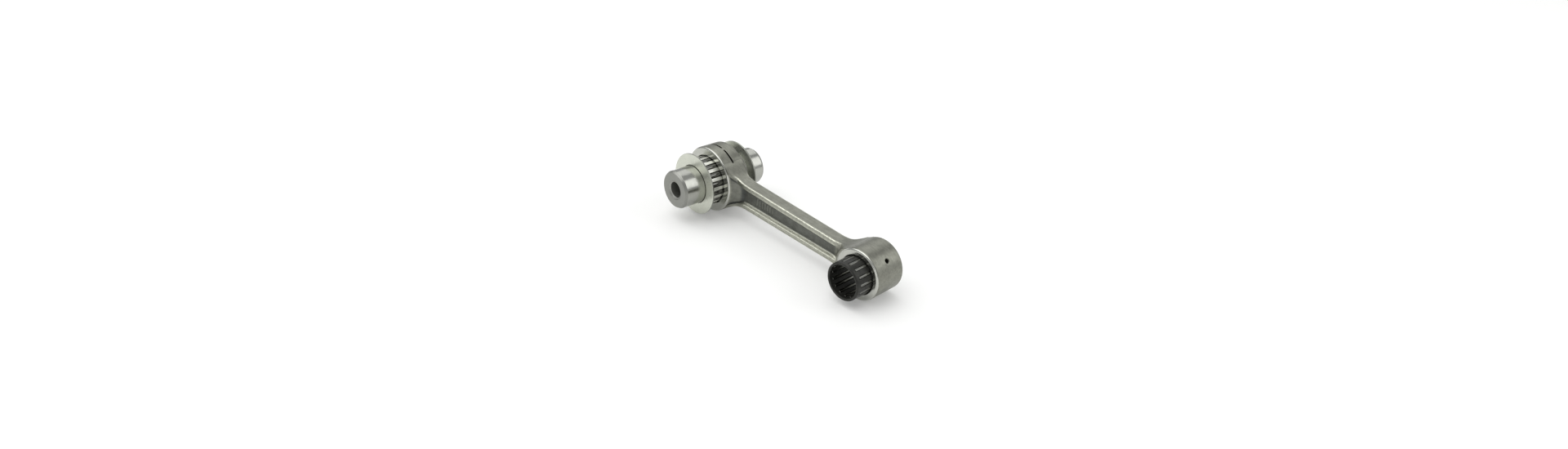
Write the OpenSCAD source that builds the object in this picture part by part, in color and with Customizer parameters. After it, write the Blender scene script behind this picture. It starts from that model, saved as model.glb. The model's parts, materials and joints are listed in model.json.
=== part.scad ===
// Connecting rod kit of a single-cylinder engine with a built-up crankshaft:
// forged I-beam rod, hollow crank pin, two thrust washers and two needle bearings.
// Origin: on the crank pin's axis, at the rod's mid-plane.
// +X runs from the big eye to the small eye, +Y along the crank pin, +Z up.

/* [Rod] */
// Distance between the centres of the two eyes
centre_distance = 130; // [115:1:150]
// Width of the big eye, along the crank pin
big_eye_width = 16; // [15:0.1:16.2]
// Outer diameter of the big eye
big_eye_d = 42; // [41:0.5:44]
// Bore of the big eye, which is the outer race of its rollers
big_bore_d = 31; // [31:0.02:31.1]
// Width of the small eye
small_eye_width = 21; // [20:0.5:24]
// Outer diameter of the small eye
small_eye_d = 29.6; // [28:0.2:31]
// Bore of the small eye, which is the outer race of its rollers
small_bore_d = 22; // [22:0.02:22.1]
// Thickness of the I-beam across its flanges
beam_thickness = 9.2; // [8:0.2:11]
// Thickness of the beam's web
web_thickness = 3.6; // [2.5:0.1:5]
// Height of the beam at the big end, taken to the eye's centre
beam_height_big = 17.4; // [16:0.2:19]
// Height of the beam at the small end, taken to the eye's centre
beam_height_small = 13.6; // [13:0.2:16]
// Width of each flange, seen on the face of the beam
flange_width = 3.4; // [2.5:0.1:4]

/* [Crank pin] */
// Diameter of the crank pin, which is the inner race of its rollers
pin_d = 24; // [23.9:0.02:24]
// Length of the crank pin
pin_length = 63; // [60:0.5:64]
// Diameter of the hole through the crank pin
pin_bore_d = 10; // [8:0.5:14]
// How far the pin's middle stands towards -Y of the rod's middle
pin_offset = 2.4; // [2:0.1:3]

/* [Thrust washers] */
// Outer diameter of the thrust washers
washer_d = 39; // [38:0.5:44]
// Bore of the thrust washers
washer_bore_d = 24.6; // [24.4:0.1:26]
// Thickness of the thrust washers
washer_thickness = 1; // [0.8:0.1:1.5]
// Distance from the rod's middle to the inner face of the near washer
near_washer_gap = 18.2; // [18.2:0.1:20]
// Distance from the rod's middle to the inner face of the far washer
far_washer_gap = 14.5; // [10:0.1:18]

/* [Big-end bearing] */
// Number of rollers in the big-end cage
big_rollers = 16; // [10:1:18]
// Diameter of the big-end rollers, with their running clearance taken off
big_roller_d = 3.4; // [3.3:0.02:3.4]
// Length of the big-end rollers
big_roller_length = 11.8; // [8:0.1:12]
// Width of the big-end cage along the pin
big_cage_width = 16; // [15:0.1:16]
// How far the big-end bearing is drawn out of its eye, towards -Y
big_cage_drawn = 10.1; // [6:0.1:10.1]

/* [Small-end bearing] */
// Number of rollers in the small-end cage
small_rollers = 15; // [10:1:18]
// Diameter of the small-end rollers, with their running clearance taken off
small_roller_d = 1.9; // [1.8:0.02:1.9]
// Length of the small-end rollers
small_roller_length = 19.2; // [15:0.2:19.4]
// Width of the small-end cage along the wrist pin
small_cage_width = 24; // [22:0.2:24]
// How far the small-end bearing is drawn out of its eye, towards -Y
small_cage_drawn = 9.4; // [0:0.1:10]

/* [Hidden] */
$fn = 96;

// How far a cutter runs past the face that it opens
over = 1;

// How deep a fillet bites into a surface that it would only touch, so that it crosses it
bite = 0.1;

// Eyes
big_r = big_eye_d / 2;
small_r = small_eye_d / 2;
eye_chamfer = 0.8;
bore_chamfer = 0.5;

// Beam: its edges lean towards each other from the big eye to the small one
beam_half = beam_thickness / 2;
web_half = web_thickness / 2;
beam_lean = atan((beam_height_big - beam_height_small) / 2 / centre_distance);
along_edge = [cos(beam_lean), -sin(beam_lean)];
off_edge = [sin(beam_lean), cos(beam_lean)];
big_centre = [0, 0];
small_centre = [centre_distance, 0];
big_fillet = 31;
small_fillet = 30;

// Roots, where the beam thickens on a hollow curve up to each eye. The big eye's starts
// inside its rim; the small eye's face runs on a little way towards the beam first
big_root_reach = 9;
big_root_step = eye_chamfer + 0.2;
small_root_reach = 10.7;
small_face_run = 1;
small_face_step = 0.1;

// Pocket on each face of the beam, and the round corners at its narrow end
pocket_end = centre_distance - 19.5;
pocket_corner = 2.6;

// Forging bars, low ridges across the middle of the web on both faces
bar_count = 7;
bar_pitch = 2.3;
bar_width = 1.1;
bar_height = 0.35;
bar_length = 4.6;
bar_start = 40.6;

// Oil slots through the wall of the big eye, as angles from +X towards +Z
slot_width = 1.1;
slot_sweep = 27;
slot_starts = [48, 84, 249, 285];

// Oil holes through the wall of the small eye
oil_hole_d = 2.5;
oil_hole_angles = [-45, 45];
oil_hole_sink = 0.4;

// Crank pin, with reliefs that part its press-fit ends from its track
pin_r = pin_d / 2;
pin_near_y = -pin_offset - pin_length / 2;
pin_far_y = pin_near_y + pin_length;
pin_lead_in = 1.6;
pin_lead_in_depth = 0.9;
pin_mouth_depth = 1;
pin_mouth_flare = 1.4;
relief_width = 1;
relief_depth = 0.25;

// Washers, by the plane of each one's face towards -Y
near_washer_y = -near_washer_gap - washer_thickness;
far_washer_y = far_washer_gap;
washer_edge = 0.2;

// Big-end bearing, midway between the crank pin and the eye's bore
big_pitch_r = (pin_d + big_bore_d) / 4;
big_cage_inner_r = 12.4;
big_cage_outer_r = 15.2;
big_step = 360 / big_rollers;
big_first_angle = 15.75;

// Small-end bearing, midway between an 18 mm wrist pin and the eye's bore
wrist_pin_d = 18;
small_pitch_r = (wrist_pin_d + small_bore_d) / 4;
small_cage_inner_r = 9.3;
small_cage_outer_r = 10.85;
small_step = 360 / small_rollers;
small_first_angle = 11.8;

// Room round a roller in its pocket, at its sides and at its ends
pocket_side_room = 0.08;
pocket_end_room = 0.1;
roller_edge = 0.25;
cage_edge = 0.3;

forged_steel = [0.56, 0.55, 0.51];
polished_steel = [0.80, 0.81, 0.80];
washer_steel = [0.76, 0.78, 0.73];
silver_cage = [0.74, 0.75, 0.72];
black_cage = [0.20, 0.20, 0.19];
roller_steel = [0.62, 0.63, 0.62];

// Name of piece number i of a row, such as big_end_roller_07
function numbered(stem, i) = str(stem, i < 10 ? "_0" : "_", i);

// Angles of roller number i round its bearing's axis, from +X towards +Z
function big_angle(i) = big_first_angle + (i - 1) * big_step;
function small_angle(i) = small_first_angle + (i - 1) * small_step;

// Distance of the beam's upper edge line from an eye's centre
function edge_distance(centre) =
    beam_height_big / 2 * cos(beam_lean) - centre[0] * sin(beam_lean);

// Centre of the fillet of radius f between an eye of radius r and the edge line;
// way is 1 where the beam leaves the eye towards +X, and -1 towards -X
function fillet_centre(centre, r, f, way) =
    let (d = edge_distance(centre) + f - bite)
    centre + d * off_edge + way * sqrt(pow(r + f - bite, 2) - pow(d, 2)) * along_edge;

// Point just inside the eye where that fillet meets it
function eye_meeting(centre, r, f, way) =
    centre + (fillet_centre(centre, r, f, way) - centre) * (r - over) / (r + f);

// Lays children that stand along Z down along Y: X stays, Y becomes Z
module along_y() {
    rotate([90, 0, 0]) mirror([0, 0, 1]) children();
}

// Turned solid along Y from a polygon of [radius, y] points
module turned(points) {
    along_y() rotate_extrude() polygon(points);
}

// Disc along Y, centred on the origin, with chamfered rims
module eye_disc(r, width) {
    half = width / 2;
    turned([
        [0, -half],
        [r - eye_chamfer, -half],
        [r, -half + eye_chamfer],
        [r, half - eye_chamfer],
        [r - eye_chamfer, half],
        [0, half]]);
}

// Cutter for an eye's bore, which chamfers both mouths
module eye_bore(r, width) {
    half = width / 2;
    flare = bore_chamfer + over;
    turned([
        [0, -half - over],
        [r + flare, -half - over],
        [r, -half + bore_chamfer],
        [r, half - bore_chamfer],
        [r + flare, half + over],
        [0, half + over]]);
}

// Disc along Y that thins from half_width at radius r to the web on a hollow curve
module root_disc(r, half_width, reach) {
    drop = half_width - web_half + bite;
    f = (pow(reach, 2) + pow(drop, 2)) / (2 * drop);
    along_y() rotate_extrude() difference() {
        translate([0, -half_width]) square([r + reach, 2 * half_width]);
        for (side = [-1, 1])
            translate([r + reach, side * (half_width - drop + f)]) circle(f);
    }
}

// Upper half of the beam's side outline, drawn in by inset from its true edge
module half_outline(inset) {
    big_c = fillet_centre(big_centre, big_r, big_fillet, 1);
    small_c = fillet_centre(small_centre, small_r, small_fillet, -1);
    difference() {
        polygon([
            big_centre,
            eye_meeting(big_centre, big_r, big_fillet, 1),
            big_c - (big_fillet + inset - bite) * off_edge,
            small_c - (small_fillet + inset - bite) * off_edge,
            eye_meeting(small_centre, small_r, small_fillet, -1),
            small_centre]);
        translate(big_c) circle(big_fillet + inset);
        translate(small_c) circle(small_fillet + inset);
    }
}

// The beam's whole side outline, seen along Y
module outline(inset) {
    half_outline(inset);
    mirror([0, 1]) half_outline(inset);
}

// A pocket seen along Y: the outline drawn in, up to its narrow end's round corners
module pocket_outline() {
    corner_x = pocket_end - pocket_corner;
    corner_z = edge_distance([pocket_end, 0]) - flange_width - pocket_corner;
    intersection() {
        outline(flange_width);
        union() {
            translate([0, -big_r]) square([corner_x, 2 * big_r]);
            translate([0, -corner_z]) square([pocket_end, 2 * corner_z]);
            for (side = [-1, 1])
                translate([corner_x, side * corner_z]) circle(pocket_corner);
        }
    }
}

// The beam's thickness everywhere: web, flanges round the pockets, and both roots
module thickness() {
    span = [centre_distance, 2 * big_r];
    along_y() {
        linear_extrude(web_thickness, center = true) translate([0, -big_r]) square(span);
        linear_extrude(beam_thickness, center = true) difference() {
            translate([0, -big_r]) square(span);
            pocket_outline();
        }
    }
    root_disc(big_r - big_root_step, big_eye_width / 2 - big_root_step, big_root_reach);
    translate([centre_distance, 0, 0]) root_disc(
        small_r + small_face_run, small_eye_width / 2 - small_face_step, small_root_reach);
}

// The I-beam with its roots, kept to its side outline
module beam() {
    intersection() {
        along_y() linear_extrude(small_eye_width, center = true) outline(0);
        thickness();
    }
}

// Forging bars, standing out of the web on both faces
module forging_bars() {
    for (i = [0:bar_count - 1])
        translate([bar_start + i * bar_pitch, 0, 0])
            cube([bar_width, web_thickness + 2 * bar_height, bar_length], center = true);
}

// One oil slot, a slit along the eye's wall with round ends
module oil_slot(start) {
    depth = big_r - big_bore_d / 2 + 2 * over;
    rotate([0, -start, 0]) {
        along_y() rotate_extrude(angle = slot_sweep)
            translate([big_bore_d / 2 - over, -slot_width / 2]) square([depth, slot_width]);
        for (end = [0, slot_sweep])
            rotate([0, 90 - end, 0])
                translate([0, 0, big_bore_d / 2 - over]) cylinder(depth, d = slot_width);
    }
}

// One oil hole through the small eye's wall, with a countersunk mouth
module oil_hole(angle) {
    rotate([0, 90 - angle, 0]) {
        cylinder(small_r + over, d = oil_hole_d);
        translate([0, 0, small_r - oil_hole_sink])
            cylinder(over, oil_hole_d / 2, oil_hole_d / 2 + over);
    }
}

module connecting_rod() {
    color(forged_steel) difference() {
        union() {
            beam();
            forging_bars();
            eye_disc(big_r, big_eye_width);
            translate([centre_distance, 0, 0]) eye_disc(small_r, small_eye_width);
        }
        eye_bore(big_bore_d / 2, big_eye_width);
        for (start = slot_starts) oil_slot(start);
        translate([centre_distance, 0, 0]) {
            eye_bore(small_bore_d / 2, small_eye_width);
            for (angle = oil_hole_angles) oil_hole(angle);
        }
    }
}

// Half of the crank pin's outer profile, from the outer end to the relief's inner edge,
// as [radius, y] points; way is -1 for the near end and 1 for the far one
function pin_end(end_y, relief_y, way) = [
    [pin_r - pin_lead_in_depth, end_y],
    [pin_r, end_y - way * pin_lead_in],
    [pin_r, relief_y],
    [pin_r - relief_depth, relief_y],
    [pin_r - relief_depth, relief_y - way * relief_width],
    [pin_r, relief_y - way * relief_width]];

function reversed(points) = [for (i = [len(points) - 1:-1:0]) points[i]];

module crank_pin() {
    bore_r = pin_bore_d / 2;
    mouth_r = bore_r + pin_mouth_flare;
    near = pin_end(pin_near_y, near_washer_y - washer_edge, -1);
    far = pin_end(pin_far_y, far_washer_y + washer_thickness + washer_edge, 1);
    color(polished_steel) turned(concat(
        [[bore_r, pin_near_y + pin_mouth_depth], [mouth_r, pin_near_y]],
        near,
        reversed(far),
        [[mouth_r, pin_far_y], [bore_r, pin_far_y - pin_mouth_depth]]));
}

// Flat washer along Y whose face towards -Y is at the origin
module thrust_washer() {
    r = washer_d / 2;
    bore_r = washer_bore_d / 2;
    turned([
        [bore_r, washer_edge],
        [bore_r + washer_edge, 0],
        [r - washer_edge, 0],
        [r, washer_edge],
        [r, washer_thickness - washer_edge],
        [r - washer_edge, washer_thickness],
        [bore_r + washer_edge, washer_thickness],
        [bore_r, washer_thickness - washer_edge]]);
}

module near_thrust_washer() {
    color(washer_steel) translate([0, near_washer_y, 0]) thrust_washer();
}

module far_thrust_washer() {
    color(washer_steel) translate([0, far_washer_y, 0]) thrust_washer();
}

// Tube of a bearing cage along Y, centred on the origin, with broken outer edges
module cage_tube(inner_r, outer_r, width) {
    half = width / 2;
    turned([
        [inner_r, -half],
        [outer_r - cage_edge, -half],
        [outer_r, -half + cage_edge],
        [outer_r, half - cage_edge],
        [outer_r - cage_edge, half],
        [inner_r, half]]);
}

// Places children in the big-end bearing at roller number i, with +X outward
module at_big_roller(i) {
    translate([0, -big_cage_drawn, 0]) rotate([0, -big_angle(i), 0])
        translate([big_pitch_r, 0, 0]) children();
}

// Places children in the small-end bearing at roller number i, with +X outward
module at_small_roller(i) {
    translate([centre_distance, -small_cage_drawn, 0]) rotate([0, -small_angle(i), 0])
        translate([small_pitch_r, 0, 0]) children();
}

module big_end_cage() {
    pocket = [
        2 * (big_cage_outer_r - big_cage_inner_r),
        big_roller_length + 2 * pocket_end_room,
        big_roller_d + 2 * pocket_side_room];
    color(silver_cage) difference() {
        translate([0, -big_cage_drawn, 0])
            cage_tube(big_cage_inner_r, big_cage_outer_r, big_cage_width);
        for (i = [1:big_rollers]) at_big_roller(i) cube(pocket, center = true);
    }
}

module small_end_cage() {
    pocket_r = small_roller_d / 2 + pocket_side_room;
    pocket_length = small_roller_length + 2 * pocket_end_room;
    color(black_cage) difference() {
        translate([centre_distance, -small_cage_drawn, 0])
            cage_tube(small_cage_inner_r, small_cage_outer_r, small_cage_width);
        for (i = [1:small_rollers])
            at_small_roller(i) along_y() cylinder(pocket_length, r = pocket_r, center = true);
    }
}

// Needle roller along Y, centred on the origin, with broken edges
module needle_roller(d, length) {
    r = d / 2;
    half = length / 2;
    turned([
        [0, -half],
        [r - roller_edge, -half],
        [r, -half + roller_edge],
        [r, half - roller_edge],
        [r - roller_edge, half],
        [0, half]]);
}

module big_end_roller(i) {
    color(roller_steel) at_big_roller(i) needle_roller(big_roller_d, big_roller_length);
}

module small_end_roller(i) {
    color(roller_steel) at_small_roller(i)
        needle_roller(small_roller_d, small_roller_length);
}

connecting_rod();
crank_pin();
near_thrust_washer();
far_thrust_washer();
big_end_cage();
small_end_cage();
for (i = [1:big_rollers])
    big_end_roller(i);
for (i = [1:small_rollers])
    small_end_roller(i);
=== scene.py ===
"""Looks of the connecting-rod kit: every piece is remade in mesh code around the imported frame."""
import json
import math

import bpy
import numpy as np
from mathutils import Matrix, Vector


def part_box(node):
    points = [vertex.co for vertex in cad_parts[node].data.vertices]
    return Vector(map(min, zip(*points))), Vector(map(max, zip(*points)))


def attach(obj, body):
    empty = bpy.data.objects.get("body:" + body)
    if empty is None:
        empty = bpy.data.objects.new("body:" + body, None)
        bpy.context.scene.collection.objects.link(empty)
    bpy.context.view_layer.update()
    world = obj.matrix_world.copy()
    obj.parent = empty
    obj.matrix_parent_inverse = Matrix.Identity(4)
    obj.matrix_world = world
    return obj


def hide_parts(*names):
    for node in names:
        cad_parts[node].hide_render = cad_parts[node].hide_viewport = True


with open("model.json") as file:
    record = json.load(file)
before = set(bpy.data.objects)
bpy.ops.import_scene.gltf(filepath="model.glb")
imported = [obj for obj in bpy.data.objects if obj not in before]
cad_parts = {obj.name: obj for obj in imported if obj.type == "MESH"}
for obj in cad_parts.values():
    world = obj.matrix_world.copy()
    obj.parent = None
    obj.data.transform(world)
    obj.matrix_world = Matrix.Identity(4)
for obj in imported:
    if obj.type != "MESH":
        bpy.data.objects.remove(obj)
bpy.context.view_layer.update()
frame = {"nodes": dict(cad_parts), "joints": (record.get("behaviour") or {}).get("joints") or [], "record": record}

# Lengths below are in millimetres, and go to metres where a mesh is made
MM = 0.001

mounts = {mount["name"]: mount for mount in frame["record"]["mounts"]}
joints = {joint["name"]: joint for joint in frame["joints"]}


# ---------------------------------------------------------------- measures from the frame

def node_points(node):
    """A CAD node's vertices, in millimetres."""
    vertices = frame["nodes"][node].data.vertices
    points = np.empty(len(vertices) * 3)
    vertices.foreach_get("co", points)
    return points.reshape(-1, 3) / MM


def along_pin(node):
    """Lowest and highest y of a CAD node, in millimetres."""
    low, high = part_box(node)
    return low.y / MM, high.y / MM


SMALL_X = mounts["wrist_pin_seat"]["pos_m"][0] / MM
PIN_R = mounts["crank_pin_near_end"]["dims"]["r_mm"]
PIN_BORE_R = mounts["crank_pin_bore"]["dims"]["r_mm"]

rod_points = node_points("connecting_rod")
off_big_axis = np.hypot(rod_points[:, 0], rod_points[:, 2])
off_small_axis = np.hypot(rod_points[:, 0] - SMALL_X, rod_points[:, 2])
BIG_R = -rod_points[:, 0].min()
BIG_BORE_R = off_big_axis.min()
BIG_HALF = np.abs(rod_points[off_big_axis < BIG_R, 1]).max()
SMALL_R = rod_points[:, 0].max() - SMALL_X
SMALL_BORE_R = off_small_axis.min()
SMALL_HALF = np.abs(rod_points[:, 1]).max()

# The beam: half heights taken to each eye's centre, half thicknesses, and the flanges' height
BEAM_HALF_BIG = 8.7
BEAM_HALF_SMALL = 6.8
BEAM_HALF = 4.6
WEB_HALF = 1.8
FLANGE = 3.5

# Rounds that join the beam's edges to the eyes, and the chamfers of the eyes and bores
BIG_FILLET = 31.0
SMALL_FILLET = 30.0
EYE_CHAMFER = 0.8
BORE_CHAMFER = 0.5

# The flanges thicken up to the big eye on a curve, and on a hollow root up to the small one
RAMP_REACH = 5.9
RAMP_RATE = 0.12
ROOT_REACH = 10.5
ROOT_OUT = 1.2
ROOT_DROP = 0.7

# The pocket: where it ends, its sloping end wall at the big eye, and the slope of its sides
POCKET_END = SMALL_X - 19.5
END_WALL_DROP = 0.9
END_WALL_SLOPE = 0.8
SIDE_SLOPE = 2.2

# Rounding of the forging's outer edges, its hollow corners and its other joins
EDGE_ROUND = 1.1
HOLLOW_ROUND = 1.2
POCKET_CORNER = 2.5
FOOT_ROUND = 3.0
FLANGE_ROUND = 0.6
JOIN_ROUND = 0.35

# Rounding of the eyes' rims and chamfers, and of the bores' edges and mouths
RIM_ROUND = 0.3
CHAMFER_ROUND = 0.5
BORE_ROUND = 0.15
MOUTH_ROUND = 0.2

# Rounding of the cages' walls, ends and pockets
CAGE_WALL_ROUND = 0.2
CAGE_END_ROUND = 0.7
CAGE_POCKET_ROUND = 0.3

# How far the forging stays under the eyes' machined faces
FACE_STOCK = 0.6

# Oil ways: middle angle of each slot through the big eye, and of each hole through the small one
SLOT_MIDDLES = (61.5, 97.5, 262.5, 298.5)
SLOT_HALF_SWEEP = 13.5
SLOT_HALF_WIDTH = 0.55
SLOT_ROUND = 0.35
OIL_HOLE_R = 1.25
OIL_HOLE_ROUND = 0.6
OIL_HOLE_ANGLES = (-45, 45)

# Forging bars on the web, with sloping sides
BAR_COUNT = 7
BAR_START = 40.6
BAR_PITCH = 2.3
BAR_HALF_WIDTH = 0.55
BAR_HALF_LENGTH = 2.3
BAR_HEIGHT = 0.35
BAR_SLOPE_WIDTH = 0.5

BIG_ROLLERS = sorted(n for n in frame["nodes"] if n.startswith("big_end_roller"))
SMALL_ROLLERS = sorted(n for n in frame["nodes"] if n.startswith("small_end_roller"))


# ---------------------------------------------------------------- implicit solids

def smooth_max(a, b, k):
    """The larger of a and b, with the edge between them rounded over k."""
    h = np.maximum(k - np.abs(a - b), 0) / k
    return np.maximum(a, b) + h * h * k / 4


def smooth_min(a, b, k):
    """The smaller of a and b, with the corner between them filled over k."""
    return -smooth_max(-a, -b, k)


def surface_net(solid, low, high, step):
    """Quads round the solid where solid(x, y, z) < 0, with the vertices drawn onto its surface."""
    axes = [np.arange(a - 2 * step, b + 3 * step, step) for a, b in zip(low, high)]
    field = solid(*np.meshgrid(*axes, indexing="ij")).astype(np.float32)
    inside = field < 0
    count = sum(
        inside[i:i - 1 or None, j:j - 1 or None, k:k - 1 or None].astype(np.int8)
        for i in (0, 1) for j in (0, 1) for k in (0, 1))
    cells = np.argwhere((count > 0) & (count < 8))
    index = np.full(count.shape, -1, np.int32)
    index[tuple(cells.T)] = np.arange(len(cells))

    total = np.zeros((len(cells), 3))
    crossings = np.zeros(len(cells))
    for axis in range(3):
        across = [a for a in range(3) if a != axis]
        for corner in range(4):
            start = np.zeros(3, int)
            start[across[0]] = corner & 1
            start[across[1]] = corner >> 1
            end = start.copy()
            end[axis] = 1
            a = field[tuple((cells + start).T)]
            b = field[tuple((cells + end).T)]
            crossed = (a < 0) != (b < 0)
            share = a[crossed] / (a[crossed] - b[crossed])
            place = np.tile(start.astype(float), (crossed.sum(), 1))
            place[:, axis] = share
            total[crossed] += place
            crossings[crossed] += 1
    origin = np.array([a[0] for a in axes])
    points = origin + (cells + total / crossings[:, None]) * step

    quads = []
    for axis in range(3):
        u, v = [a for a in range(3) if a != axis]
        first = [slice(1, -1)] * 3
        second = [slice(1, -1)] * 3
        first[axis] = slice(0, -1)
        second[axis] = slice(1, None)
        change = inside[tuple(first)] != inside[tuple(second)]
        edge = np.argwhere(change)
        edge[:, u] += 1
        edge[:, v] += 1
        ring = []
        for back_u, back_v in ((1, 1), (0, 1), (0, 0), (1, 0)):
            cell = edge.copy()
            cell[:, u] -= back_u
            cell[:, v] -= back_v
            ring.append(index[tuple(cell.T)])
        ring = np.stack(ring, 1)
        outward = inside[tuple(edge.T)] == (axis != 1)
        ring[~outward] = ring[~outward][:, ::-1]
        quads.append(ring)
    return onto_surface(solid, points, step), np.concatenate(quads)


def gradient(solid, points):
    """Gradient of the solid's function at points."""
    reach = 0.02
    columns = []
    for axis in range(3):
        shift = np.zeros(3)
        shift[axis] = reach
        columns.append(solid(*(points + shift).T) - solid(*(points - shift).T))
    return np.stack(columns, 1) / (2 * reach)


def onto_surface(solid, points, step):
    """Points moved onto the surface, by at most a part of the grid's step."""
    start = points.copy()
    rounds, longest, least_steepness = 3, 0.8 * step, 0.05
    for _ in range(rounds):
        slope = gradient(solid, points)
        steepness = np.maximum((slope ** 2).sum(1), least_steepness)
        points = points - slope * (solid(*points.T) / steepness)[:, None]
        moved = points - start
        length = np.maximum(np.linalg.norm(moved, axis=1), 1e-9)
        points = start + moved * np.minimum(1, longest / length)[:, None]
    return points


def unit(vectors):
    return vectors / np.maximum(np.linalg.norm(vectors, axis=1), 1e-12)[:, None]


# ---------------------------------------------------------------- the rod

BEAM_LEAN = math.atan((BEAM_HALF_BIG - BEAM_HALF_SMALL) / SMALL_X)


def fillet_centre(centre_x, eye_r, fillet, way):
    """Centre of the round that joins the beam's edge to an eye, as (x, z)."""
    edge = BEAM_HALF_BIG * math.cos(BEAM_LEAN) - centre_x * math.sin(BEAM_LEAN)
    off = edge + fillet
    along = way * math.sqrt((eye_r + fillet) ** 2 - off ** 2)
    x = centre_x + off * math.sin(BEAM_LEAN) + along * math.cos(BEAM_LEAN)
    z = off * math.cos(BEAM_LEAN) - along * math.sin(BEAM_LEAN)
    return x, z


def round_edge(x, z, centre_x, centre_z, fillet, eye_r):
    """Distance outside the round between the beam's edge and an eye centred on the origin.
    Past the point where the round meets the eye, the outline leans into the eye."""
    lean_in = 0.3
    past = (centre_x * z - centre_z * x) / math.hypot(centre_x, centre_z)
    inside_eye = np.hypot(x, z) - eye_r + lean_in * past
    return np.where(past > 0, inside_eye, fillet - np.hypot(x - centre_x, z - centre_z))


def outline(x, z):
    """Distance outside the beam's side outline, seen along the pin."""
    big_x, big_z = fillet_centre(0, BIG_R, BIG_FILLET, 1)
    small_x, small_z = fillet_centre(SMALL_X, SMALL_R, SMALL_FILLET, -1)
    z = np.abs(z)
    edge = (z - BEAM_HALF_BIG) * math.cos(BEAM_LEAN) + x * math.sin(BEAM_LEAN)
    big = round_edge(x, z, big_x, big_z, BIG_FILLET, BIG_R)
    small = round_edge(SMALL_X - x, z, SMALL_X - small_x, small_z, SMALL_FILLET, SMALL_R)
    return np.where(x < big_x, big, np.where(x > small_x, small, edge))


def hollow(r, start_r, start_half, reach):
    """Half thickness of a root that thins on a hollow curve to the web, over reach from start_r."""
    drop = start_half - WEB_HALF
    curve = (reach ** 2 + drop ** 2) / (2 * drop)
    inward = np.maximum(start_r + reach - r, 0)
    return WEB_HALF + curve - np.sqrt(np.maximum(curve ** 2 - inward ** 2, 0))


def forging_bars(x, z):
    """Height of the low forging bars over the web."""
    nearest = np.clip(np.round((x - BAR_START) / BAR_PITCH), 0, BAR_COUNT - 1)
    off = np.abs(x - BAR_START - nearest * BAR_PITCH) - BAR_HALF_WIDTH
    edge = smooth_max(off, np.abs(z) - BAR_HALF_LENGTH, BAR_SLOPE_WIDTH)
    ramp = np.clip(0.5 - edge / BAR_SLOPE_WIDTH, 0, 1)
    return BAR_HEIGHT * ramp * ramp * (3 - 2 * ramp)


def half_thickness(x, z, edge):
    """Half thickness of the beam: flanges that thicken up to each eye, round a sloping pocket."""
    r = np.hypot(x, z)
    root = hollow(
        np.hypot(x - SMALL_X, z), SMALL_R + ROOT_OUT, SMALL_HALF - ROOT_DROP, ROOT_REACH)
    ramp = BEAM_HALF + RAMP_RATE * np.maximum(BIG_R + RAMP_REACH - r, 0) ** 2
    flange = smooth_max(ramp, root, HOLLOW_ROUND)
    end_wall = BIG_HALF - END_WALL_DROP - END_WALL_SLOPE * (r - BIG_R)
    web = WEB_HALF + forging_bars(x, z)
    floor = smooth_max(smooth_max(web, end_wall, FOOT_ROUND), root, HOLLOW_ROUND)
    pocket = smooth_max(edge + FLANGE, x - POCKET_END, POCKET_CORNER)
    side = (WEB_HALF + BEAM_HALF) / 2 + SIDE_SLOPE * pocket
    return smooth_min(smooth_max(side, floor, HOLLOW_ROUND), flange, FLANGE_ROUND)


def eye(x, y, z, r, half):
    """An eye, as a disc with broken rims."""
    wall = np.hypot(x, z) - r
    face = np.abs(y) - half
    rim = (wall + face + EYE_CHAMFER) * math.sqrt(0.5)
    return smooth_max(smooth_max(wall, face, RIM_ROUND), rim, CHAMFER_ROUND)


def bore(x, y, z, r, half):
    """An eye's bore with its chamfered mouths; positive inside the bore."""
    wall = r - np.hypot(x, z)
    mouth = (wall + np.abs(y) - half + BORE_CHAMFER) * math.sqrt(0.5)
    return smooth_max(wall, mouth, MOUTH_ROUND)


def oil_slot(x, y, z, middle):
    """One slit through the big eye's wall; negative inside it."""
    turn = np.degrees(np.arctan2(z, x)) - middle
    turn = (turn + 180) % 360 - 180
    past_end = np.maximum(np.abs(turn) - SLOT_HALF_SWEEP, 0) * math.radians(1) * BIG_R
    return np.hypot(past_end, y) - SLOT_HALF_WIDTH


def oil_hole(x, y, z, angle):
    """One hole through the small eye's wall; negative inside it."""
    c, s = math.cos(math.radians(angle)), math.sin(math.radians(angle))
    across = np.hypot(y, z * c - x * s) - OIL_HOLE_R
    return np.maximum(across, -(x * c + z * s))


def face_half(x):
    """Half width of the nearer eye."""
    return np.where(x < SMALL_X / 2, BIG_HALF, SMALL_HALF)


def rod_solid(x, y, z):
    """The whole rod: forged beam and eyes, less the bores and oil ways."""
    edge = outline(x, z)
    forging = smooth_max(edge, np.abs(y) - half_thickness(x, z, edge), EDGE_ROUND)
    forging = np.maximum(forging, np.maximum(-x, x - SMALL_X))
    forging = np.maximum(forging, np.abs(y) - face_half(x) + FACE_STOCK)
    small_x = x - SMALL_X
    solid = smooth_min(forging, eye(x, y, z, BIG_R, BIG_HALF), JOIN_ROUND)
    solid = smooth_min(solid, eye(small_x, y, z, SMALL_R, SMALL_HALF), JOIN_ROUND)
    solid = smooth_max(solid, bore(x, y, z, BIG_BORE_R, BIG_HALF), BORE_ROUND)
    solid = smooth_max(solid, bore(small_x, y, z, SMALL_BORE_R, SMALL_HALF), BORE_ROUND)
    for middle in SLOT_MIDDLES:
        solid = smooth_max(solid, -oil_slot(x, y, z, middle), SLOT_ROUND)
    for angle in OIL_HOLE_ANGLES:
        solid = smooth_max(solid, -oil_hole(small_x, y, z, angle), OIL_HOLE_ROUND)
    return solid


# ---------------------------------------------------------------- the rod's surface

def rise(value, start, full):
    """A share that is 0 up to start and 1 from full on."""
    return np.clip((value - start) / (full - start), 0, 1)


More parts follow.
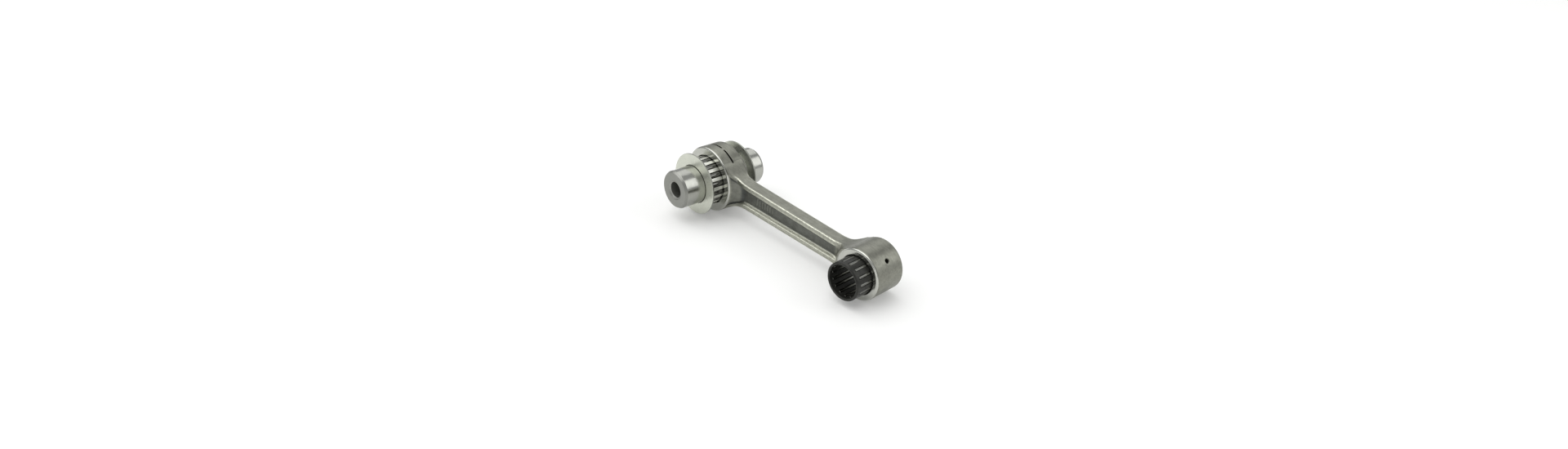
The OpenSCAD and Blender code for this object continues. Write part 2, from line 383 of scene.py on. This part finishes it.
def machined_share(x, y, z):
    """1 on the rod's machined faces, their rims and its bores, 0 on its forged skin."""
    big = x < SMALL_X / 2
    r = np.hypot(np.where(big, x, x - SMALL_X), z)
    eye_r = np.where(big, BIG_R, SMALL_R)
    bore_r = np.where(big, BIG_BORE_R, SMALL_BORE_R)
    face = rise(np.abs(y) - face_half(x) + EYE_CHAMFER, 0, 0.1)
    face = np.minimum(face, rise(eye_r - r, -0.25, 0.05))
    wall = rise(bore_r - r + BORE_CHAMFER, -0.3, -0.1)
    return np.maximum(face, wall)


def pocket_shade_share(x, y, z):
    """Painted shade in the pockets: some on the end wall, most round it, less along the web."""
    from_big = np.hypot(x, z) - BIG_R
    edge = outline(x, z)
    shade_amount = 0.45 + 0.55 * np.maximum(rise(from_big, 5, 6.5), rise(edge + FLANGE, -0.3, 0.5))
    shade_amount -= 0.25 * rise(from_big, 8.5, 10.5)
    margin = 1.5 + 1.6 * rise(from_big, 4, 7)
    inward = rise(-edge - margin, 0, 0.8)
    low = np.where(from_big < 9, 1, rise(WEB_HALF - np.abs(y), -0.8, -0.4))
    from_eyes = np.minimum(rise(from_big, 0.3, 0.8), rise(POCKET_END - x, -2, 1))
    return shade_amount * low * inward * from_eyes


def painted_highlight_share(x, y, z):
    """Painted highlight: 1 along the beam's four outer edges, less down the pockets' sides, where the skin is
    painted bright.
    """
    edge = outline(x, z)
    from_big = np.hypot(x, z) - BIG_R
    from_small = np.hypot(x - SMALL_X, z) - SMALL_R
    under = half_thickness(x, z, edge) - np.abs(y)
    lit_sheen = rise(-np.maximum(-edge, under), -1.1, -0.6)
    side = np.minimum.reduce([
        rise(edge + FLANGE, -1.2, -0.8),
        rise(-edge, 1, 1.5),
        rise(np.abs(y) - WEB_HALF, 0.4, 1.2),
        rise(BEAM_HALF - np.abs(y), -0.5, -0.2),
        rise(from_big, 8, 11),
        rise(POCKET_END - x, 0, 3)])
    from_eyes = np.minimum(rise(from_big, 2, 5), rise(from_small, 2, 5))
    return np.maximum(lit_sheen, 0.7 * side) * from_eyes


# ---------------------------------------------------------------- cages

def cage_solid(node, rollers, pocket_shape):
    """A bearing cage: a tube with broken edges, less pocket_shape at each roller."""
    points = node_points(node)
    rollers_at = np.array([joints[n + "_spin"]["pos_m"] for n in rollers]) / MM
    centre_x = rollers_at[:, 0].mean()
    middle_y = rollers_at[0, 1]
    r = np.hypot(points[:, 0] - centre_x, points[:, 2])
    inner_r, outer_r = r.min(), r.max()
    half = points[:, 1].max() - middle_y
    first = math.atan2(rollers_at[0, 2], rollers_at[0, 0] - centre_x)
    step = 2 * math.pi / len(rollers)

    def solid(x, y, z):
        r = np.hypot(x - centre_x, z)
        turn = np.arctan2(z, x - centre_x) - first
        turn -= np.round(turn / step) * step
        y = y - middle_y
        wall = smooth_max(r - outer_r, inner_r - r, CAGE_WALL_ROUND)
        tube = smooth_max(wall, np.abs(y) - half, CAGE_END_ROUND)
        pocket = pocket_shape(r * np.cos(turn), np.abs(r * np.sin(turn)), np.abs(y))
        return smooth_max(tube, -pocket, CAGE_POCKET_ROUND)

    low = (centre_x - outer_r, middle_y - half, -outer_r)
    high = (centre_x + outer_r, middle_y + half, outer_r)
    return solid, low, high


def roller_size(node):
    """Radius and length of a roller, in millimetres."""
    low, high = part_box(node)
    return (high.z - low.z) / 2 / MM, (high.y - low.y) / MM


BIG_ROLLER_R, BIG_ROLLER_LENGTH = roller_size(BIG_ROLLERS[0])
SMALL_ROLLER_R, SMALL_ROLLER_LENGTH = roller_size(SMALL_ROLLERS[0])
SIDE_ROOM = 0.08
END_ROOM = 0.1
first_small_roller = joints[SMALL_ROLLERS[0] + "_spin"]["pos_m"]
SMALL_PITCH_R = math.hypot(first_small_roller[0] / MM - SMALL_X, first_small_roller[2] / MM)


def open_pocket(radial, across, along):
    """A big-end pocket, straight sided with round corners, and the same at any radial place."""
    corner = 0.6
    a = across - (BIG_ROLLER_R + SIDE_ROOM - corner)
    b = along - (BIG_ROLLER_LENGTH / 2 + END_ROOM - corner)
    return np.hypot(np.maximum(a, 0), np.maximum(b, 0)) + np.minimum(np.maximum(a, b), 0) - corner


def closed_pocket(radial, across, along):
    """A small-end pocket, a round way that holds its roller from both sides."""
    side = np.hypot(radial - SMALL_PITCH_R, across) - (SMALL_ROLLER_R + SIDE_ROOM)
    return np.maximum(side, along - (SMALL_ROLLER_LENGTH / 2 + END_ROOM))


# ---------------------------------------------------------------- meshes

def make_piece(name, points, faces, normals, material, body, slot, stands_for):
    """A smooth piece in metres, with its true normals, riding on a body."""
    mesh = bpy.data.meshes.new(name)
    mesh.from_pydata((points * MM).tolist(), [], faces.tolist())
    mesh.validate()
    mesh.polygons.foreach_set("use_smooth", np.ones(len(mesh.polygons), bool))
    mesh.normals_split_custom_set_from_vertices(normals.tolist())
    mesh.materials.append(material)
    piece = bpy.data.objects.new(name, mesh)
    bpy.context.scene.collection.objects.link(piece)
    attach(piece, body)
    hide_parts(stands_for)
    return piece


def net_piece(name, solid, low, high, step, keep, **kwargs):
    """A piece from an implicit solid; keep is the share of triangles that thinning leaves."""
    points, faces = surface_net(solid, low, high, step)
    if keep < 1:
        mesh = bpy.data.meshes.new(name + "_fine")
        mesh.from_pydata(points.tolist(), [], faces.tolist())
        fine = bpy.data.objects.new(name + "_fine", mesh)
        bpy.context.scene.collection.objects.link(fine)
        thin = fine.modifiers.new("thin", "DECIMATE")
        thin.ratio = keep
        result = fine.evaluated_get(bpy.context.evaluated_depsgraph_get()).to_mesh()
        points = np.empty(len(result.vertices) * 3)
        result.vertices.foreach_get("co", points)
        points = points.reshape(-1, 3)
        result.calc_loop_triangles()
        faces = np.empty(len(result.loop_triangles) * 3, int)
        result.loop_triangles.foreach_get("vertices", faces)
        faces = faces.reshape(-1, 3)
        bpy.data.objects.remove(fine)
    normals = unit(gradient(solid, points))
    return make_piece(name, points, faces, normals, **kwargs)


def set_shares(piece, **shares):
    """Keeps shares, each worked out from x, y and z, on a piece's vertices for its material."""
    points = np.empty(len(piece.data.vertices) * 3)
    piece.data.vertices.foreach_get("co", points)
    place = (points.reshape(-1, 3) / MM).T
    for name, share in shares.items():
        attribute = piece.data.attributes.new(name, "FLOAT", "POINT")
        attribute.data.foreach_set("value", share(*place))


def rounded(corners, steps=4):
    """A closed outline of (r, y, radius) corners with each corner turned into an arc.
    Gives its points and its outward normals."""
    points, normals = [], []
    corners = [(np.array(c[:2], float), c[2]) for c in corners]
    area = sum(
        a[0][0] * b[0][1] - b[0][0] * a[0][1]
        for a, b in zip(corners, corners[1:] + corners[:1]))
    side = 1 if area > 0 else -1
    for i, (here, radius) in enumerate(corners):
        before = corners[i - 1][0] - here
        after = corners[(i + 1) % len(corners)][0] - here
        before /= np.linalg.norm(before)
        after /= np.linalg.norm(after)
        half = math.acos(np.clip(before @ after, -1, 1)) / 2
        bend = np.sign(after[0] * before[1] - after[1] * before[0]) * side
        centre = here + unit((before + after)[None])[0] * radius / math.sin(half)
        first = here + before * radius / math.tan(half) - centre
        last = here + after * radius / math.tan(half) - centre
        for t in np.linspace(0, 1, steps + 1):
            arm = unit((first * (1 - t) + last * t)[None])[0] * radius
            points.append(centre + arm)
            normals.append(arm / radius * bend)
    return np.array(points), np.array(normals)


def turned_piece(name, corners, centre, segments, **kwargs):
    """A piece turned about a line along Y through centre = (x, z), from a closed outline."""
    outline_points, outline_normals = rounded(corners)
    count = len(outline_points)
    angles = np.arange(segments) * 2 * math.pi / segments
    ring = np.stack([np.cos(angles), np.sin(angles)], 1)
    points = np.empty((segments, count, 3))
    points[:, :, 0] = centre[0] + ring[:, :1] * outline_points[:, 0]
    points[:, :, 1] = outline_points[:, 1]
    points[:, :, 2] = centre[1] + ring[:, 1:] * outline_points[:, 0]
    normals = np.empty_like(points)
    normals[:, :, 0] = ring[:, :1] * outline_normals[:, 0]
    normals[:, :, 1] = outline_normals[:, 1]
    normals[:, :, 2] = ring[:, 1:] * outline_normals[:, 0]
    j, i = np.meshgrid(np.arange(segments), np.arange(count), indexing="ij")
    next_i, next_j = (i + 1) % count, (j + 1) % segments
    faces = np.stack(
        [j * count + i, next_j * count + i, next_j * count + next_i, j * count + next_i], 2)
    faces = faces.reshape(-1, 4)
    a, b, c = (points.reshape(-1, 3)[faces[:, k]] for k in (0, 1, 2))
    flip = (np.cross(b - a, c - a) * normals.reshape(-1, 3)[faces[:, 0]]).sum(1).sum() < 0
    if flip:
        faces = faces[:, ::-1]
    return make_piece(
        name, points.reshape(-1, 3), faces, normals.reshape(-1, 3), **kwargs)


# ---------------------------------------------------------------- materials

class Nodes:
    """Builds one material's nodes."""

    def __init__(self, name):
        self.material = bpy.data.materials.new(name)
        self.material.use_nodes = True
        self.tree = self.material.node_tree
        self.shader = self.tree.nodes["Principled BSDF"]
        coordinates = self.tree.nodes.new("ShaderNodeTexCoord")
        self.place = coordinates.outputs["Object"]

    def link(self, source, target):
        self.tree.links.new(source, target)

    def scaled(self, factors):
        """The place with each axis multiplied."""
        mapping = self.tree.nodes.new("ShaderNodeMapping")
        mapping.inputs["Scale"].default_value = factors
        self.link(self.place, mapping.inputs["Vector"])
        return mapping.outputs["Vector"]

    def noise(self, scale, detail=3.0, stretch=(1, 1, 1), roughness=0.55):
        """Noise whose features are about 1 / scale metres across."""
        texture = self.tree.nodes.new("ShaderNodeTexNoise")
        texture.inputs["Scale"].default_value = scale
        texture.inputs["Detail"].default_value = detail
        texture.inputs["Roughness"].default_value = roughness
        self.link(self.scaled(stretch), texture.inputs["Vector"])
        return texture.outputs["Fac"]

    def ramp(self, value, low, high, at=(0.3, 0.7)):
        """A value, spread from low to high between the two places in at."""
        spread = self.tree.nodes.new("ShaderNodeMapRange")
        spread.inputs["From Min"].default_value = at[0]
        spread.inputs["From Max"].default_value = at[1]
        spread.inputs["To Min"].default_value = low
        spread.inputs["To Max"].default_value = high
        self.link(value, spread.inputs["Value"])
        return spread.outputs["Result"]

    def colours(self, value, stops):
        """A colour ramp over (place, colour) stops."""
        ramp = self.tree.nodes.new("ShaderNodeValToRGB")
        elements = ramp.color_ramp.elements
        while len(elements) < len(stops):
            elements.new(0.5)
        for element, (at, colour) in zip(elements, stops):
            element.position = at
            element.color = (*colour, 1)
        self.link(value, ramp.inputs["Fac"])
        return ramp.outputs["Color"]

    def attribute(self, name):
        """A share kept on the mesh's vertices."""
        node = self.tree.nodes.new("ShaderNodeAttribute")
        node.attribute_name = name
        return node.outputs["Fac"]

    def mix(self, share, first, second):
        """The first colour, turning into the second as the share rises."""
        mix = self.tree.nodes.new("ShaderNodeMix")
        mix.data_type = "RGBA"
        self.link(share, mix.inputs["Factor"])
        self.link(first, mix.inputs["A"])
        self.link(second, mix.inputs["B"])
        return mix.outputs["Result"]

    def fade(self, value, share, end):
        """A value, turning into end as the share rises."""
        mix = self.tree.nodes.new("ShaderNodeMix")
        self.link(share, mix.inputs["Factor"])
        self.link(value, mix.inputs["A"])
        mix.inputs["B"].default_value = end
        return mix.outputs["Result"]

    def bump(self, height, distance, strength=1.0, below=None):
        """A bump of distance metres, over the bump below it."""
        bump = self.tree.nodes.new("ShaderNodeBump")
        bump.inputs["Strength"].default_value = strength
        bump.inputs["Distance"].default_value = distance
        self.link(height, bump.inputs["Height"])
        if below is not None:
            self.link(below, bump.inputs["Normal"])
        self.link(bump.outputs["Normal"], self.shader.inputs["Normal"])
        return bump.outputs["Normal"]

    def set(self, **values):
        for name, value in values.items():
            socket = self.shader.inputs[name.replace("_", " ")]
            if isinstance(value, bpy.types.NodeSocket):
                self.link(value, socket)
            else:
                socket.default_value = value


def grey(level, tint=(1.0, 1.0, 1.0)):
    """A near-grey colour of that linear level."""
    return tuple(level * t for t in tint)


OLIVE = (1.0, 1.01, 0.86)
# Tint of the painted shade in the pockets
POCKET_SHADE_TINT = (0.98, 1.03, 0.96)
WARM = (1.0, 1.01, 0.93)
GREENISH = (0.975, 1.0, 0.88)


def forged_steel():
    """Blasted forging with machined faces: fine pits, mottling and lengthwise streaks, with painted shade in the
    pockets and a painted highlight along the beam's edges.
    """
    n = Nodes("forged_steel")
    machined = n.attribute("machined")
    worn = n.attribute("worn")
    recess = n.attribute("recess")
    mottle = n.noise(260, detail=5, roughness=0.65)
    streaks = n.noise(900, detail=4, stretch=(0.07, 1, 1))
    skin = n.mix(
        n.ramp(streaks, 0.0, 0.45, at=(0.35, 0.65)),
        n.colours(mottle, [(0.3, grey(0.22, OLIVE)), (0.7, grey(0.29, OLIVE))]),
        n.colours(mottle, [(0.3, grey(0.13, OLIVE)), (0.7, grey(0.19, OLIVE))]))
    # Painted shade: a dark, cool colour laid over the pockets by the pocket shade share
    pocket_shade_colour = n.colours(mottle, [(0.3, grey(0.06, POCKET_SHADE_TINT)), (0.7, grey(0.11, POCKET_SHADE_TINT))])
    speckle = n.noise(1500, detail=2, stretch=(0.4, 1, 1))
    # Painted highlight: a bright speckled colour laid along the beam's edges and the pockets' sides
    lit_sheen = n.colours(speckle, [(0.35, grey(0.35, OLIVE)), (0.65, grey(0.60, OLIVE))])
    cut = n.colours(mottle, [(0.3, grey(0.45, WARM)), (0.7, grey(0.51, WARM))])
    colour = n.mix(worn, n.mix(recess, skin, pocket_shade_colour), lit_sheen)
    rough = n.ramp(n.noise(900), 0.34, 0.46)
    n.set(
        Base_Color=n.mix(machined, colour, cut),
        Metallic=1.0,
        Roughness=n.fade(n.fade(rough, worn, 0.3), machined, 0.2))
    pits = n.bump(n.noise(3000, detail=3), 0.00004, 0.5)
    n.bump(streaks, 0.00005, 0.5, pits)
    return n.material


def patchy(n, level, tint):
    """A faintly uneven colour of about that level."""
    return n.colours(n.noise(140, detail=4), [(0.3, grey(level * 0.94, tint)), (0.7, grey(level, tint))])


def ground_steel(name, level, tint, roughness):
    """Ground round its axis in fine hoops, with duller turned ends and a drilled hole."""
    n = Nodes(name)
    turned = n.attribute("turned")
    drilled = n.attribute("drilled")
    colour = n.mix(turned, patchy(n, level, tint), patchy(n, level * 0.66, tint))
    rough = n.ramp(n.noise(600), roughness * 0.8, roughness * 1.3)
    n.set(
        Base_Color=n.mix(drilled, colour, patchy(n, level * 0.9, tint)),
        Metallic=1.0,
        Roughness=n.fade(n.fade(rough, turned, 0.4), drilled, 0.5))
    n.bump(n.noise(2500, detail=2, stretch=(0.1, 1, 0.1)), 0.000006, 0.35)
    return n.material


def satin_steel(name, level, tint, roughness, grain, metallic=1.0):
    """Stamped or plated sheet steel with a soft sheen, with painted shade round its rim."""
    n = Nodes(name)
    rim = n.attribute("rim")
    n.set(
        # Painted shade: the rim gets the colour at 0.4 of its level
        Base_Color=n.mix(rim, patchy(n, level, tint), patchy(n, level * 0.4, tint)),
        Metallic=metallic,
        Roughness=n.ramp(n.noise(800), roughness * 0.8, roughness * 1.25))
    n.bump(n.noise(1200, detail=1), 0.000008, grain)
    return n.material


def black_phosphate():
    """Phosphated cage: near black, faintly worn."""
    n = Nodes("black_phosphate")
    n.set(
        Base_Color=n.colours(n.noise(400, detail=4), [
            (0.3, grey(0.015, OLIVE)), (0.6, grey(0.026, OLIVE)), (0.8, grey(0.05, OLIVE))]),
        Metallic=0.35,
        Specular_IOR_Level=0.35,
        Roughness=n.ramp(n.noise(900), 0.32, 0.5))
    n.bump(n.noise(3500, detail=3), 0.00002, 0.5)
    return n.material


pin_steel = ground_steel("pin_steel", 0.42, WARM, 0.2)
# The rollers' steel is darkened far below the pin's: painted shade for the dark cage pockets they sit in
roller_steel = ground_steel("roller_steel", 0.14, WARM, 0.14)
washer_steel = satin_steel("washer_steel", 0.66, GREENISH, 0.32, 0.04, metallic=0.85)
silver_plate = satin_steel("silver_plate", 0.76, WARM, 0.4, 0.5)
phosphate = black_phosphate()


# ---------------------------------------------------------------- pieces

PIN_AXIS = (0, 0)
LARGE_SEGMENTS = 192
ROLLER_SEGMENTS = 40


def connecting_rod():
    low = (-BIG_R, -SMALL_HALF, -BIG_R)
    high = (SMALL_X + SMALL_R, SMALL_HALF, BIG_R)
    step, keep = ((0.27, 0.45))
    rod = net_piece(
        "rod_forging", rod_solid, low, high, step, keep,
        material=forged_steel(), body="rod", slot="forged_rod", stands_for="connecting_rod")
    # The pockets get painted shade and the beam's edges and pocket sides a painted highlight
    set_shares(rod, machined=machined_share, recess=pocket_shade_share, worn=painted_highlight_share)


def crank_pin():
    near, far = along_pin("crank_pin")
    washer_near, _ = along_pin("near_thrust_washer")
    _, washer_far = along_pin("far_thrust_washer")
    lead, lead_depth, mouth, flare = 1.6, 0.9, 1.0, 1.4
    relief, relief_depth, washer_edge = 1.0, 0.25, 0.2
    near_relief = washer_near - washer_edge
    far_relief = washer_far + washer_edge
    pin = turned_piece(
        "crank_pin_ground", [
            (PIN_BORE_R, near + mouth, 0.3),
            (PIN_BORE_R + flare, near, 0.2),
            (PIN_R - lead_depth, near, 0.25),
            (PIN_R, near + lead, 0.4),
            (PIN_R, near_relief, 0.05),
            (PIN_R - relief_depth, near_relief, 0.1),
            (PIN_R - relief_depth, near_relief + relief, 0.1),
            (PIN_R, near_relief + relief, 0.05),
            (PIN_R, far_relief - relief, 0.05),
            (PIN_R - relief_depth, far_relief - relief, 0.1),
            (PIN_R - relief_depth, far_relief, 0.1),
            (PIN_R, far_relief, 0.05),
            (PIN_R, far - lead, 0.4),
            (PIN_R - lead_depth, far, 0.25),
            (PIN_BORE_R + flare, far, 0.2),
            (PIN_BORE_R, far - mouth, 0.3),
        ], PIN_AXIS, LARGE_SEGMENTS,
        material=pin_steel, body="crank_pin", slot="ground_pin", stands_for="crank_pin")

    def turned_share(x, y, z):
        return rise(np.maximum(near + lead - y, y + lead - far), -0.05, 0.09)

    def drilled_share(x, y, z):
        return rise(PIN_BORE_R - np.hypot(x, z), -0.4, -0.2)

    set_shares(pin, turned=turned_share, drilled=drilled_share)


def thrust_washer(node):
    near, far = along_pin(node)
    points = node_points(node)
    r = np.hypot(points[:, 0], points[:, 2])
    hole_r, rim_r = r.min(), r.max()
    edge = 0.28
    washer = turned_piece(
        node + "_disc", [
            (hole_r, near, edge), (rim_r, near, edge),
            (rim_r, far, edge), (hole_r, far, edge)], PIN_AXIS, LARGE_SEGMENTS,
        material=washer_steel, body=node, slot="thrust_washers", stands_for=node)
    # The rim share paints shade round the washer's rim, dulling the highlight there
    set_shares(washer, rim=lambda x, y, z: rise(np.hypot(x, z) - rim_r, -0.15, -0.05))


def cages():
    for name, node, rollers, pocket, material, slot, step in (
            ("big_end_cage_silver", "big_end_cage", BIG_ROLLERS, open_pocket,
             silver_plate, "silver_cage", 0.3),
            ("small_end_cage_black", "small_end_cage", SMALL_ROLLERS, closed_pocket,
             phosphate, "black_cage", 0.24)):
        solid, low, high = cage_solid(node, rollers, pocket)
        net_piece(
            name, solid, low, high, step * (1), 1,
            material=material, body=node, slot=slot, stands_for=node)


def rollers():
    """The needle rollers. Their outline stops just short of the axis, so that no face is empty."""
    edge, middle, middle_edge = 0.28, 0.0005, 0.0001
    for nodes in (BIG_ROLLERS, SMALL_ROLLERS):
        r, _ = roller_size(nodes[0])
        for node in nodes:
            near, far = along_pin(node)
            x, _, z = (c / MM for c in joints[node + "_spin"]["pos_m"])
            turned_piece(
                node + "_needle", [
                    (middle, near, middle_edge), (r, near, edge),
                    (r, far, edge), (middle, far, middle_edge)], (x, z), ROLLER_SEGMENTS,
                material=roller_steel, body=node, slot="needle_rollers", stands_for=node)


connecting_rod()
crank_pin()
thrust_washer("near_thrust_washer")
thrust_washer("far_thrust_washer")
cages()
rollers()


# ---------------------------------------------------------------- floor, light and camera

def floor():
    """A pale floor that both eyes rest on, so it leans to the rod's own axes."""
    lean = math.asin((BIG_R - SMALL_R) / SMALL_X)
    size = 8.0
    mesh = bpy.data.meshes.new("floor")
    corners = [(-size, -size, 0), (size, -size, 0), (size, size, 0), (-size, size, 0)]
    mesh.from_pydata(corners, [], [(0, 1, 2, 3)])
    plane = bpy.data.objects.new("floor", mesh)
    bpy.context.scene.collection.objects.link(plane)
    plane.matrix_world = (
        Matrix.Rotation(-lean, 4, "Y") @ Matrix.Translation((0, 0, -BIG_R * MM)))
    n = Nodes("pale_floor")
    n.set(
        Base_Color=(0.74, 0.74, 0.73, 1),
        Roughness=0.8,
        Specular_IOR_Level=0.1,
        Emission_Color=(1, 1, 0.99, 1),
        Emission_Strength=0.2)
    mesh.materials.append(n.material)


def softbox(name, direction, distance, size, radiance):
    """A square soft light that faces the rod's middle."""
    light = bpy.data.lights.new(name, "AREA")
    light.shape = "SQUARE"
    light.size = size
    light.energy = radiance * math.pi * size * size
    lamp = bpy.data.objects.new(name, light)
    middle = Vector((SMALL_X / 2 * MM, 0, 0))
    way = Vector(direction).normalized()
    lamp.location = middle + way * distance
    lamp.rotation_mode = "QUATERNION"
    lamp.rotation_quaternion = way.to_track_quat("Z", "Y")
    bpy.context.scene.collection.objects.link(lamp)


def studio():
    """An even pale surround, softboxes at the back corners and in front, a wide one overhead."""
    bpy.context.scene.view_settings.view_transform = "Standard"
    world = bpy.data.worlds.new("studio")
    bpy.context.scene.world = world
    world.use_nodes = True
    background = world.node_tree.nodes["Background"]
    background.inputs["Color"].default_value = (0.98, 0.99, 1.0, 1)
    background.inputs["Strength"].default_value = 0.5
    softbox("right_back_softbox", (0.56, 0.61, 0.56), 2.7, 1.8, 1.4)
    softbox("left_back_softbox", (-0.45, 0.61, 0.60), 2.7, 1.7, 0.78)
    softbox("overhead_softbox", (-0.35, -0.25, 0.9), 3.0, 4.0, 1.6)
    softbox("front_softbox", (0.62, -0.74, 0.25), 2.7, 1.2, 1.0)


def camera():
    """The photograph's view, from beyond the small end on the near side."""
    data = bpy.data.cameras.new("camera")
    data.sensor_width = 36.0
    data.lens = 17.34
    data.clip_start = 0.01
    view = bpy.data.objects.new("camera", data)
    bpy.context.scene.collection.objects.link(view)
    place = (0.3334, -0.2750, 0.2221)
    forward = Vector((-0.6039, 0.6142, -0.5080)).normalized()
    right = Vector((0.6776, 0.7312, 0.0785))
    right = (right - forward * right.dot(forward)).normalized()
    up = right.cross(forward)
    turn = Matrix((right, up, -forward)).transposed().to_4x4()
    view.matrix_world = Matrix.Translation(place) @ turn
    bpy.context.scene.camera = view


floor()
studio()
camera()
